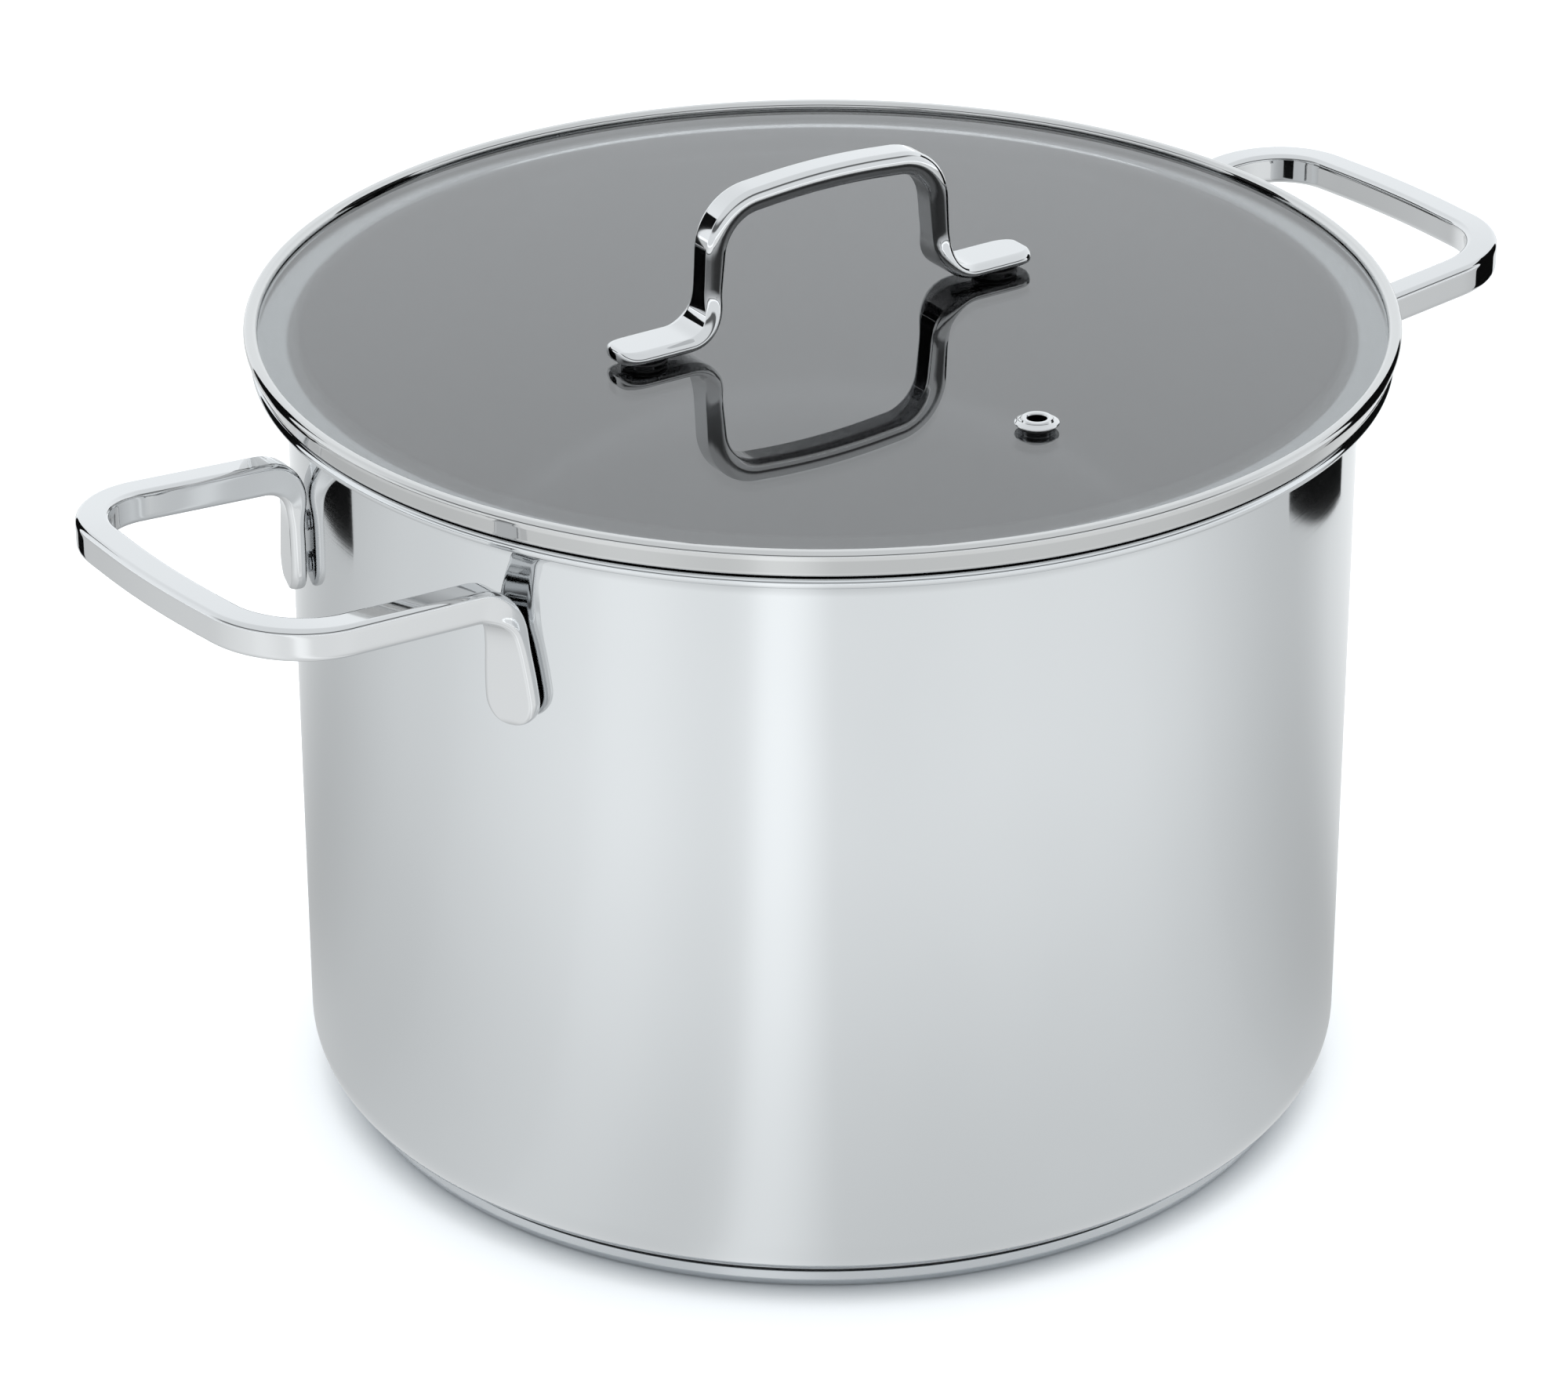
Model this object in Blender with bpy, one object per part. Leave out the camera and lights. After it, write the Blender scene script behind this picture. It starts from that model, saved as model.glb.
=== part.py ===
"""Stainless stock pot with a glass lid, built as separate pieces in one frame.

Metres, +Z up.  The origin is the centre of the base underside, the side handles
lie along X, and the lid sits centred on the Z axis.  Pieces that touch on the
real object keep a gap of TOUCH between their meshes.
"""
import math

import bmesh
import bpy
from mathutils import Matrix, Vector

MM = 0.001
TOUCH = 0.3 * MM

# ---- driving dimensions: the pot -------------------------------------------
BODY_R = 130.0 * MM            # outer radius of the straight wall
WALL = 0.9 * MM
BODY_CORNER_R = 12.0 * MM      # outer radius between the wall and the floor
FLARE_START_Z = 187.0 * MM     # where the pouring rim leaves the wall
FLARE_R = 7.4 * MM
FLARE_ANGLE = math.radians(80.0)
ROLL_R = 1.35 * MM             # rolled edge of the pouring rim
ROLL_X = 136.95 * MM
ROLL_Z = 194.45 * MM

# ---- the impact-bonded base -------------------------------------------------
CAP_FLAT_R = 118.6 * MM        # flat underside the pot stands on
CAP_R = 122.3 * MM
CAP_H = 5.3 * MM
CAP_WALL = 0.6 * MM
POT_FLOOR_Z = CAP_H + TOUCH

# ---- side handles -----------------------------------------------------------
BAR = 8.0 * MM                 # square bar, both ways
BAR_EDGE = 1.6 * MM            # rounding of the bar's long edges
TAB_W = 14.0 * MM
TAB_T = 3.8 * MM
TAB_AZIMUTH = math.radians(19.8)
TAB_LEAN = math.radians(0.6)   # a tab leans this much outwards at its foot
TAB_STANDOFF = 1.0 * MM        # weld gap between the wall and a tab
TAB_BOTTOM_Z = 147.4 * MM
BEND_R = 10.0 * MM
BAR_WALL_Z = 178.7 * MM        # bar centre height above the tab
BAR_GRIP_Z = 183.7 * MM        # bar centre height along the grip
GRIP_X = 187.2 * MM            # bar centre, distance of the grip's corners
GRIP_BOW = 1.6 * MM
GRIP_HALF_SPAN = 45.0 * MM
GRIP_CORNER_R = 20.5 * MM
GRIP_CROWN_R = 260.0 * MM

WELD_R = 2.6 * MM
WELD_T = TAB_STANDOFF - 2 * TOUCH
WELD_LEVELS = {"lower": 153.5 * MM, "upper": 164.5 * MM}

# ---- the lid ----------------------------------------------------------------
GLASS_BOTTOM_Z = 197.1 * MM
GLASS_T = 4.0 * MM
GLASS_R = 137.2 * MM
GLASS_EDGE = 1.0 * MM
GLASS_TOP_Z = GLASS_BOTTOM_Z + GLASS_T
RING_R = 139.7 * MM
RING_SHEET = 0.6 * MM
RING_TOP_Z = 203.0 * MM
RING_TOP_ARC = 1.3 * MM
RING_INNER_R = 136.4 * MM      # inner wall of the rolled top edge
RING_SIDE_Z = 201.1 * MM       # the outer side tapers inwards below this height
RING_FOOT_R = 138.3 * MM       # outer radius at the bottom of the taper
RING_FOOT_Z = 197.5 * MM
SKIRT_R = 128.5 * MM           # inside of the skirt that centres the lid in the pot
SKIRT_END_Z = 189.7 * MM
SKIRT_BEND = 1.0 * MM
LID_TURN = math.radians(-3.8)  # how far the lid is turned from the handle axis

# ---- the lid's handle and its fasteners -------------------------------------
FOOT_X = 51.0 * MM
FOOT_TIP_X = 59.4 * MM
FOOT_W = 14.0 * MM
FOOT_T = 3.4 * MM
ARCH_W = 8.6 * MM
LEG_T = 4.9 * MM
CROWN_T = 5.9 * MM
LEG_FOOT_X = 33.8 * MM
LEG_TOP_X = 31.4 * MM
SHOULDER_Z = 235.4 * MM
CROWN_Z = 238.1 * MM
FOOT_BEND_R = 8.5 * MM
SHOULDER_R = 12.5 * MM
CROWN_R = 190.0 * MM
ARCH_EDGE = 1.3 * MM

PAD_R = 5.7 * MM
PAD_T = 0.8 * MM
SCREW_R = 1.7 * MM
SCREW_HOLE_R = SCREW_R + TOUCH
GLASS_HOLE_R = 3.0 * MM
SCREW_DEPTH = 2.3 * MM         # blind hole in each foot
LOWER_PAD_R = 5.6 * MM
LOWER_PAD_T = 0.8 * MM
WASHER_R = 5.0 * MM
WASHER_T = 0.8 * MM
HEAD_R = 3.6 * MM
HEAD_H = 2.1 * MM
HEAD_EDGE = 0.9 * MM
RECESS_DEPTH = 1.3 * MM
RECESS_SPAN = 3.6 * MM
RECESS_SLOT = 0.9 * MM

# ---- the steam vent ---------------------------------------------------------
VENT_X = 3.5 * MM
VENT_Y = -83.9 * MM
VENT_BORE_R = 2.3 * MM
VENT_TUBE_R = 2.9 * MM
VENT_FLANGE_R = 5.3 * MM
VENT_GASKET_R = 5.5 * MM
VENT_GASKET_T = 0.6 * MM
VENT_HOLE_R = 3.4 * MM
VENT_BACKING_R = 5.2 * MM
VENT_BACKING_T = 0.7 * MM
VENT_CURL_R = 4.4 * MM
VENT_CURL_T = 0.8 * MM

# ---- facets -----------------------------------------------------------------
BIG_STEPS = 60
SMALL_STEPS = 20
ARC_STEP = math.radians(15.0)
SMOOTH_ANGLE = math.radians(38.0)

# derived heights of the stack under and over the glass
PAD_Z = GLASS_TOP_Z + TOUCH
FOOT_BOTTOM_Z = PAD_Z + PAD_T + TOUCH
FOOT_Z = FOOT_BOTTOM_Z + FOOT_T / 2
LOWER_PAD_Z = GLASS_BOTTOM_Z - TOUCH - LOWER_PAD_T
WASHER_Z = LOWER_PAD_Z - TOUCH - WASHER_T
HEAD_Z = WASHER_Z - TOUCH - HEAD_H
VENT_BACKING_Z = GLASS_BOTTOM_Z - TOUCH - VENT_BACKING_T


# ---- helpers ----------------------------------------------------------------
def material(name, colour, metallic, roughness, transmission=0.0):
    """A Principled material with the given colour and gloss."""
    made = bpy.data.materials.new(name)
    made.use_nodes = True
    shader = made.node_tree.nodes["Principled BSDF"]
    shader.inputs["Base Color"].default_value = (*colour, 1.0)
    shader.inputs["Metallic"].default_value = metallic
    shader.inputs["Roughness"].default_value = roughness
    shader.inputs["Transmission Weight"].default_value = transmission
    return made


def add_object(name, bm, look, parent, location=(0, 0, 0), turn=0.0):
    """Turn a finished bmesh into a named object under a parent empty."""
    bmesh.ops.recalc_face_normals(bm, faces=bm.faces[:])
    mesh = bpy.data.meshes.new(name)
    bm.to_mesh(mesh)
    bm.free()
    mesh.shade_smooth()
    mesh.set_sharp_from_angle(angle=SMOOTH_ANGLE)
    made = bpy.data.objects.new(name, mesh)
    colour, metallic, roughness, *rest = look
    mesh.materials.append(material(name, colour, metallic, roughness, *rest))
    made.parent = parent
    made.location = location
    made.rotation_euler = (0, 0, turn)
    bpy.context.scene.collection.objects.link(made)
    return made


def add_empty(name, parent=None, location=(0, 0, 0), turn=0.0):
    """An empty that carries a group of pieces."""
    made = bpy.data.objects.new(name, None)
    made.parent = parent
    made.location = location
    made.rotation_euler = (0, 0, turn)
    bpy.context.scene.collection.objects.link(made)
    return made


def arc(centre_r, centre_z, radius, start_deg, end_deg, steps):
    """Points of an arc in the profile plane, as (r, z)."""
    points = []
    for i in range(steps + 1):
        angle = math.radians(start_deg + (end_deg - start_deg) * i / steps)
        points.append((centre_r + radius * math.cos(angle), centre_z + radius * math.sin(angle)))
    return points


def turned(profile, steps, closed):
    """Spin an (r, z) profile round Z; closed joins its last point to its first."""
    bm = bmesh.new()
    verts = [bm.verts.new((r, 0, z)) for r, z in profile]
    ends = len(verts) if closed else len(verts) - 1
    edges = [bm.edges.new((verts[i], verts[(i + 1) % len(verts)])) for i in range(ends)]
    bmesh.ops.spin(bm, geom=verts + edges, cent=(0, 0, 0), axis=(0, 0, 1),
                   angle=2 * math.pi, steps=steps, use_merge=True)
    bmesh.ops.remove_doubles(bm, verts=bm.verts[:], dist=1e-6)
    return bm


def washer_mesh(outer, inner, thickness, edge, steps=SMALL_STEPS):
    """A flat washer from z = 0 up, its outer edges chamfered."""
    profile = [(inner, 0), (outer - edge, 0), (outer, edge), (outer, thickness - edge),
               (outer - edge, thickness), (inner, thickness)]
    return turned(profile, steps, closed=True)


def rounded_path(corners, radii):
    """Points along straight runs joined by fillets; radii has one entry per inner corner."""
    points = [corners[0]]
    for i, radius in enumerate(radii, start=1):
        before = (corners[i - 1] - corners[i]).normalized()
        after = (corners[i + 1] - corners[i]).normalized()
        half = before.angle(after) / 2
        turn = math.pi - 2 * half
        centre = corners[i] + (before + after).normalized() * (radius / math.sin(half))
        start = corners[i] + before * (radius / math.tan(half)) - centre
        axis = start.cross(-before)
        steps = max(2, round(turn / ARC_STEP))
        for k in range(steps + 1):
            points.append(centre + Matrix.Rotation(turn * k / steps, 3, axis) @ start)
    points.append(corners[-1])
    return points


def resample(points, longest):
    """Split runs longer than longest, so that a section can change along them."""
    dense = [points[0]]
    for a, b in zip(points, points[1:]):
        pieces = max(1, math.ceil((b - a).length / longest))
        dense += [a.lerp(b, k / pieces) for k in range(1, pieces + 1)]
    return dense


def bar_mesh(points, sides, widths, heights, edge):
    """Loft a chamfered rectangle along points.

    sides gives the width direction at each point, and widths and heights give
    the section's size there.
    """
    bm = bmesh.new()
    rings = []
    for i, point in enumerate(points):
        ahead = points[min(i + 1, len(points) - 1)] - points[max(i - 1, 0)]
        tangent = ahead.normalized()
        side = (sides[i] - tangent * sides[i].dot(tangent)).normalized()
        up = tangent.cross(side)
        a, b = widths[i] / 2, heights[i] / 2
        c = min(edge, 0.45 * a, 0.45 * b)
        section = [(a, b - c), (a - c, b), (c - a, b), (-a, b - c),
                   (-a, c - b), (c - a, -b), (a - c, -b), (a, c - b)]
        rings.append([bm.verts.new(point + side * u + up * v) for u, v in section])
    for low, high in zip(rings, rings[1:]):
        for k in range(len(low)):
            n = (k + 1) % len(low)
            bm.faces.new((low[k], low[n], high[n], high[k]))
    bm.faces.new(rings[0])
    bm.faces.new(rings[-1])
    return bm


def blend(x, x0, x1, y0, y1):
    """Ease from y0 at x0 to y1 at x1."""
    t = min(max((x - x0) / (x1 - x0), 0.0), 1.0)
    t = t * t * (3 - 2 * t)
    return y0 + (y1 - y0) * t


def round_end(distance, radius, floor):
    """Width factor of a rounded end at a distance from its tip."""
    inside = min(distance, radius) / radius
    return max(math.sqrt(max(0.0, 1 - (1 - inside) ** 2)), floor)


def distances(points):
    """Distance along a path at each of its points."""
    run = [0.0]
    for a, b in zip(points, points[1:]):
        run.append(run[-1] + (b - a).length)
    return run


def cut(target, cutter):
    """Subtract a cutter object from a target with a Boolean modifier."""
    cutter.hide_render = True
    cutter.display_type = "WIRE"
    modifier = target.modifiers.new("cut_" + cutter.name, "BOOLEAN")
    modifier.operation = "DIFFERENCE"
    modifier.solver = "EXACT"
    modifier.object = cutter


def add_cylinder_cutter(name, radius, low, high, parent, location=(0, 0, 0)):
    """A cylinder from z = low to z = high that cuts a round hole."""
    bm = bmesh.new()
    bmesh.ops.create_cone(bm, cap_ends=True, segments=SMALL_STEPS, radius1=radius,
                          radius2=radius, depth=high - low,
                          matrix=Matrix.Translation((0, 0, (low + high) / 2)))
    return add_object(name, bm, STEEL, parent, location)


# ---- looks ------------------------------------------------------------------
STEEL = ((0.78, 0.79, 0.80), 1.0, 0.22)
POLISHED = ((0.85, 0.86, 0.87), 1.0, 0.07)
ALUMINIUM = ((0.70, 0.71, 0.72), 1.0, 0.45)
SILICONE = ((0.02, 0.02, 0.022), 0.0, 0.55)
GLASS = ((0.80, 0.83, 0.84), 0.0, 0.03, 0.9)


# ---- the pot ----------------------------------------------------------------
def build_pot_body(parent):
    """Drawn shell: floor, corner, straight wall and a flared rim with a rolled edge."""
    corner_x = BODY_R - BODY_CORNER_R
    corner_z = POT_FLOOR_Z + BODY_CORNER_R
    flare_x = BODY_R + FLARE_R
    tip_deg = 180 - math.degrees(FLARE_ANGLE)
    outside = [(0, POT_FLOOR_Z)]
    outside += arc(corner_x, corner_z, BODY_CORNER_R, -90, 0, 5)
    outside += arc(flare_x, FLARE_START_Z, FLARE_R, 180, tip_deg, 6)
    outside += arc(ROLL_X, ROLL_Z, ROLL_R, -110, 110, 7)
    inside = arc(flare_x, FLARE_START_Z, FLARE_R + WALL, tip_deg, 180, 6)
    inside += arc(corner_x, corner_z, BODY_CORNER_R - WALL, 0, -90, 5)
    inside += [(0, POT_FLOOR_Z + WALL)]
    add_object("pot_body", turned(outside + inside, BIG_STEPS, closed=False), STEEL, parent)


def build_base(parent):
    """Steel cap with a heat-spreading aluminium disc sealed under the floor."""
    foot = CAP_R - CAP_FLAT_R
    inner_r = CAP_R - CAP_WALL
    inner_flat = CAP_FLAT_R - CAP_WALL / 2
    cap = [(0, 0), (CAP_FLAT_R, 0), (CAP_FLAT_R + 0.55 * foot, 0.12 * foot),
           (CAP_R - 0.15 * foot, 0.42 * foot), (CAP_R, 0.85 * foot), (CAP_R, CAP_H),
           (inner_r, CAP_H), (inner_r, 0.85 * foot + CAP_WALL / 2),
           (inner_r - 0.15 * foot, 0.42 * foot + CAP_WALL),
           (inner_flat, CAP_WALL), (0, CAP_WALL)]
    add_object("base_cap", turned(cap, BIG_STEPS, closed=False), STEEL, parent)
    disc_low = CAP_WALL + TOUCH
    disc_r = inner_r - 2 * TOUCH
    disc = [(0, disc_low), (inner_flat - 3 * TOUCH, disc_low),
            (disc_r - 0.5 * foot, disc_low + 0.2 * foot), (disc_r, 0.85 * foot + CAP_WALL),
            (disc_r, CAP_H), (0, CAP_H)]
    add_object("base_core_disc", turned(disc, BIG_STEPS, closed=False), ALUMINIUM, parent)


def side_handle_mesh():
    """One loop handle on the +X side: tab, leg, bowed grip, leg, tab."""
    tab_r = BODY_R + TAB_STANDOFF + TAB_T / 2
    foot_azimuth = TAB_AZIMUTH + TAB_LEAN
    top_azimuth = TAB_AZIMUTH - TAB_LEAN
    foot_x, foot_y = tab_r * math.cos(foot_azimuth), tab_r * math.sin(foot_azimuth)
    top_x, top_y = tab_r * math.cos(top_azimuth), tab_r * math.sin(top_azimuth)
    corners = [Vector((foot_x, -foot_y, TAB_BOTTOM_Z)),
               Vector((top_x, -top_y, BAR_WALL_Z)),
               Vector((GRIP_X, -GRIP_HALF_SPAN, BAR_GRIP_Z)),
               Vector((GRIP_X + GRIP_BOW * 2, 0, BAR_GRIP_Z)),
               Vector((GRIP_X, GRIP_HALF_SPAN, BAR_GRIP_Z)),
               Vector((top_x, top_y, BAR_WALL_Z)),
               Vector((foot_x, foot_y, TAB_BOTTOM_Z))]
    radii = [BEND_R, GRIP_CORNER_R, GRIP_CROWN_R, GRIP_CORNER_R, BEND_R]
    points = resample(rounded_path(corners, radii), 8 * MM)
    end_steps = [0.6 * MM, 1.6 * MM, 3.2 * MM, 5.2 * MM]
    first = [points[0] + (points[1] - points[0]).normalized() * s for s in end_steps]
    last = [points[-1] + (points[-2] - points[-1]).normalized() * s for s in reversed(end_steps)]
    points = points[:1] + first + points[1:-1] + last + points[-1:]

    run = distances(points)
    tab_end = BAR_WALL_Z - TAB_BOTTOM_Z - BEND_R
    bend_end = tab_end + BEND_R * math.pi / 2
    sides, widths, heights = [], [], []
    middle = len(points) // 2
    for i, along in enumerate(run):
        near = min(along, run[-1] - along)
        hand = -1 if i < middle else 1
        tangent_side = Vector((-math.sin(hand * TAB_AZIMUTH), math.cos(TAB_AZIMUTH), 0))
        if near > bend_end + 4 * MM:
            ahead = points[min(i + 1, len(points) - 1)] - points[i - 1]
            side = Vector((0, 0, 1)).cross(ahead)
        else:
            share = blend(near, tab_end, bend_end, 0, 1)
            side = tangent_side.lerp(Vector((0, 1, 0)), share) * -hand
        sides.append(side.normalized())
        width = blend(near, TAB_W / 3, bend_end, TAB_W, BAR)
        widths.append(width * round_end(near, TAB_W / 2, 0.35))
        heights.append(blend(near, tab_end - 4 * MM, bend_end - 2 * MM, TAB_T, BAR))
    return bar_mesh(points, sides, widths, heights, BAR_EDGE)


def build_side_handles(parent):
    """Left and right handles with two weld spots behind each tab."""
    for name, turn in (("right", 0.0), ("left", math.pi)):
        add_object("handle_" + name, side_handle_mesh(), POLISHED, parent, turn=turn)
        for end, hand in (("front", -1), ("rear", 1)):
            azimuth = turn + TAB_AZIMUTH * hand * math.cos(turn)
            for level, height in WELD_LEVELS.items():
                bm = bmesh.new()
                across = Matrix.Rotation(math.pi / 2, 4, "Y")
                bmesh.ops.create_cone(bm, cap_ends=True, segments=16, radius1=WELD_R,
                                      radius2=WELD_R, depth=WELD_T, matrix=across)
                reach = BODY_R + TAB_STANDOFF / 2
                place = (reach * math.cos(azimuth), reach * math.sin(azimuth), height)
                add_object("weld_" + "_".join((name, end, level)), bm, STEEL, parent, place, azimuth)


# ---- the lid ----------------------------------------------------------------
def build_glass(lid, hardware):
    """Flat tempered disc with two screw holes and a vent hole."""
    low, high = GLASS_BOTTOM_Z, GLASS_TOP_Z
    profile = [(0, low), (GLASS_R - GLASS_EDGE, low), (GLASS_R, low + GLASS_EDGE),
               (GLASS_R, high - GLASS_EDGE), (GLASS_R - GLASS_EDGE, high), (0, high)]
    glass = add_object("lid_glass", turned(profile, BIG_STEPS, closed=False), GLASS, lid)
    past = 2 * MM
    for name, x, y, radius in (("left", -FOOT_X, 0, GLASS_HOLE_R), ("right", FOOT_X, 0, GLASS_HOLE_R),
                               ("vent", VENT_X, VENT_Y, VENT_HOLE_R)):
        cutter = add_cylinder_cutter("glass_hole_" + name, radius, low - past, high + past,
                                     hardware, (x, y, 0))
        cut(glass, cutter)


def build_ring(lid):
    """Rolled steel ring round the glass edge, with a skirt that drops inside the pot."""
    lip_top = GLASS_BOTTOM_Z - TOUCH
    lip_bottom = lip_top - RING_SHEET
    outer_r = RING_R - RING_TOP_ARC
    inner_r = RING_INNER_R + RING_TOP_ARC
    top_z = RING_TOP_Z - RING_TOP_ARC
    fold = RING_FOOT_Z - lip_bottom
    skirt_r = SKIRT_R + RING_SHEET
    outer = [(RING_INNER_R, PAD_Z)]
    outer += arc(inner_r, top_z, RING_TOP_ARC, 180, 90, 3)
    outer += arc(outer_r, top_z, RING_TOP_ARC, 90, 0, 3)
    outer += [(RING_R, RING_SIDE_Z)]
    outer += arc(RING_FOOT_R - fold, RING_FOOT_Z, fold, 0, -90, 3)
    outer += arc(skirt_r + SKIRT_BEND, lip_bottom - SKIRT_BEND, SKIRT_BEND, 90, 180, 2)
    outer += [(skirt_r, SKIRT_END_Z)]
    bend = SKIRT_BEND + RING_SHEET
    inner = [(SKIRT_R, SKIRT_END_Z)]
    inner += arc(skirt_r + SKIRT_BEND, lip_bottom - SKIRT_BEND, bend, 180, 90, 2)
    inner += arc(RING_FOOT_R - fold, RING_FOOT_Z, fold - RING_SHEET, -90, 0, 3)
    inner += [(RING_R - RING_SHEET, RING_SIDE_Z)]
    inner += arc(outer_r, top_z, RING_TOP_ARC - RING_SHEET, 0, 90, 3)
    inner += arc(inner_r, top_z, RING_TOP_ARC - RING_SHEET, 90, 180, 3)
    inner += [(RING_INNER_R + RING_SHEET, PAD_Z)]
    add_object("lid_ring", turned(outer + inner, BIG_STEPS, closed=True), POLISHED, lid)


def lid_handle_mesh():
    """Bent flat bar: foot, leg, crowned top, leg, foot."""
    half = [Vector((FOOT_TIP_X, 0, FOOT_Z)), Vector((LEG_FOOT_X, 0, FOOT_Z)),
            Vector((LEG_TOP_X, 0, SHOULDER_Z))]
    mirrored = [Vector((-p.x, 0, p.z)) for p in half]
    corners = mirrored + [Vector((0, 0, CROWN_Z))] + half[::-1]
    radii = [FOOT_BEND_R, SHOULDER_R, CROWN_R, SHOULDER_R, FOOT_BEND_R]
    points = resample(rounded_path(corners, radii), 7 * MM)
    end_steps = [0.5 * MM, 1.4 * MM, 2.8 * MM, 4.6 * MM]
    first = [points[0] + Vector((s, 0, 0)) for s in end_steps]
    last = [points[-1] - Vector((s, 0, 0)) for s in reversed(end_steps)]
    points = points[:1] + first + points[1:-1] + last + points[-1:]

    widths, heights = [], []
    leg_low = FOOT_Z + FOOT_BEND_R
    for point in points:
        from_tip = FOOT_TIP_X - abs(point.x)
        width = blend(point.z, FOOT_Z, leg_low, FOOT_W, ARCH_W)
        widths.append(width * round_end(from_tip, FOOT_W / 2, 0.45))
        if point.z < leg_low:
            heights.append(blend(point.z, FOOT_Z, leg_low, FOOT_T, LEG_T))
        else:
            heights.append(blend(point.z, leg_low, SHOULDER_Z, LEG_T, CROWN_T))
    sides = [Vector((0, 1, 0))] * len(points)
    return bar_mesh(points, sides, widths, heights, ARCH_EDGE)


def screw_mesh():
    """Pan-head screw, head down, from the bottom of its head at z = 0."""
    length = FOOT_BOTTOM_Z + SCREW_DEPTH - TOUCH - HEAD_Z
    point = 0.5 * MM
    profile = [(0, 0), (HEAD_R - HEAD_EDGE, 0), (HEAD_R - HEAD_EDGE / 3, HEAD_EDGE / 2),
               (HEAD_R, HEAD_EDGE * 1.2), (HEAD_R, HEAD_H), (SCREW_R, HEAD_H),
               (SCREW_R, length - point), (SCREW_R - point, length), (0, length)]
    return turned(profile, SMALL_STEPS, closed=False)


def add_cross_cutter(name, parent, location):
    """A plus-shaped prism that cuts the drive recess of a screw head."""
    long, short = RECESS_SPAN / 2, RECESS_SLOT / 2
    quarter = [(long, -short), (long, short), (short, short)]
    outline = []
    for k in range(4):
        turn = Matrix.Rotation(k * math.pi / 2, 3, "Z")
        outline += [turn @ Vector((x, y, -MM)) for x, y in quarter]
    bm = bmesh.new()
    base = bm.faces.new([bm.verts.new(p) for p in outline])
    grown = bmesh.ops.extrude_face_region(bm, geom=[base])
    top = [v for v in grown["geom"] if isinstance(v, bmesh.types.BMVert)]
    bmesh.ops.translate(bm, verts=top, vec=(0, 0, MM + RECESS_DEPTH))
    return add_object(name, bm, STEEL, parent, location)


def build_lid_handle(hardware):
    """The lid's handle, with a pad, a washer pair and a screw at each foot."""
    handle = add_object("lid_handle", lid_handle_mesh(), POLISHED, hardware)
    for name, hand in (("left", -1), ("right", 1)):
        x = hand * FOOT_X
        hole = add_cylinder_cutter("foot_hole_" + name, SCREW_HOLE_R, FOOT_BOTTOM_Z - MM,
                                   FOOT_BOTTOM_Z + SCREW_DEPTH, hardware, (x, 0, 0))
        cut(handle, hole)
        add_object("handle_pad_" + name, washer_mesh(PAD_R, SCREW_HOLE_R, PAD_T, 0.25 * MM),
                   SILICONE, hardware, (x, 0, PAD_Z))
        add_object("under_pad_" + name,
                   washer_mesh(LOWER_PAD_R, SCREW_HOLE_R, LOWER_PAD_T, 0.2 * MM),
                   SILICONE, hardware, (x, 0, LOWER_PAD_Z))
        add_object("screw_washer_" + name,
                   washer_mesh(WASHER_R, SCREW_HOLE_R, WASHER_T, 0.2 * MM),
                   STEEL, hardware, (x, 0, WASHER_Z))
        screw = add_object("handle_screw_" + name, screw_mesh(), STEEL, hardware, (x, 0, HEAD_Z))
        recess = add_cross_cutter("screw_recess_" + name, hardware, (x, 0, HEAD_Z))
        cut(screw, recess)


def build_vent(hardware):
    """Steam vent: stepped eyelet through the glass, gasket above, backing washer below."""
    base = PAD_Z + VENT_GASKET_T + TOUCH
    curl = VENT_BACKING_Z - TOUCH
    eyelet = [(VENT_BORE_R, curl - VENT_CURL_T), (VENT_CURL_R - 0.3 * MM, curl - VENT_CURL_T),
              (VENT_CURL_R, curl - 0.3 * MM), (VENT_CURL_R - 0.2 * MM, curl), (VENT_TUBE_R, curl),
              (VENT_TUBE_R, base), (VENT_FLANGE_R - 0.2 * MM, base), (VENT_FLANGE_R, base + 0.3 * MM),
              (VENT_FLANGE_R - 0.4 * MM, base + 0.6 * MM), (3.9 * MM, base + 0.9 * MM),
              (3.6 * MM, base + 1.4 * MM), (3.0 * MM, base + 1.6 * MM),
              (VENT_BORE_R + 0.2 * MM, base + 1.4 * MM), (VENT_BORE_R, base + MM)]
    place = (VENT_X, VENT_Y, 0)
    add_object("vent_eyelet", turned(eyelet, SMALL_STEPS, closed=True), POLISHED, hardware, place)
    bore = VENT_TUBE_R + TOUCH
    add_object("vent_gasket", washer_mesh(VENT_GASKET_R, bore, VENT_GASKET_T, 0.15 * MM),
               SILICONE, hardware, (VENT_X, VENT_Y, PAD_Z))
    add_object("vent_backing", washer_mesh(VENT_BACKING_R, bore, VENT_BACKING_T, 0.15 * MM),
               STEEL, hardware, (VENT_X, VENT_Y, VENT_BACKING_Z))


def main():
    for old in list(bpy.data.objects):
        bpy.data.objects.remove(old, do_unlink=True)
    pot = add_empty("pot_frame")
    lid = add_empty("lid_frame", pot)
    hardware = add_empty("lid_hardware", lid, turn=LID_TURN)
    build_pot_body(pot)
    build_base(pot)
    build_side_handles(pot)
    build_glass(lid, hardware)
    build_ring(lid)
    build_lid_handle(hardware)
    build_vent(hardware)
    bpy.context.view_layer.update()


main()
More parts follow.
